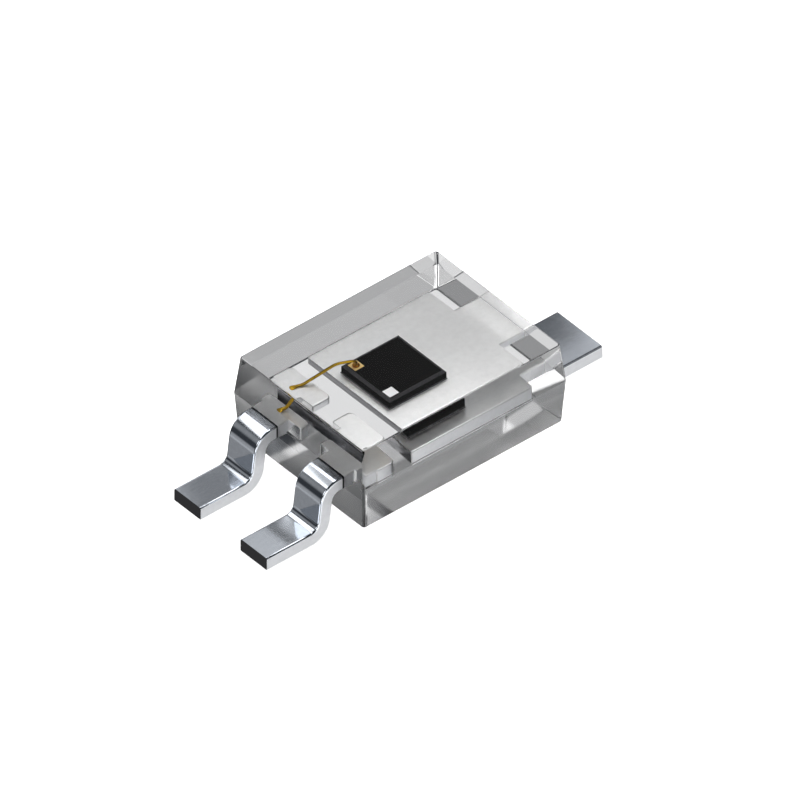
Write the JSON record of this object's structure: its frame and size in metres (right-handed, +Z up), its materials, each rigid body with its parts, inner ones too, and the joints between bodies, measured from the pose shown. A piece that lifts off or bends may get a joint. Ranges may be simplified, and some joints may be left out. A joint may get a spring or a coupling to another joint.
{
  "type": "phototransistor",
  "caption": "Surface-mount phototransistor: a clear moulded block round a black chip, its gold wire and a stamped lead frame with bent solder leads.",
  "frame": {"origin": "centre of the footprint, on the plane of the solder feet's undersides", "axes": "+X from the two narrow leads towards the wide lead, +Y across the leads towards the emitter lead, +Z up through the window face"},
  "size_m": [0.0048, 0.002, 0.0011],
  "materials": {
    "clear_resin": "clear moulded epoxy, smooth",
    "plated_sheet": "copper alloy sheet, silver plated inside the resin and bright tin outside",
    "conductive_adhesive": "metal filled epoxy, dull",
    "silicon": "coated silicon, black and smooth",
    "gold": "drawn gold wire, bright",
    "aluminium_film": "sputtered metal film, bright"
  },
  "bodies": {
    "root": {"clear_body": "clear_resin", "collector_lead": "plated_sheet", "emitter_lead": "plated_sheet", "base_lead": "plated_sheet", "die_attach": "conductive_adhesive", "chip": "silicon", "emitter_pad": "gold", "base_pad": "aluminium_film", "bond_wire": "gold"}
  },
  "joints": []
}
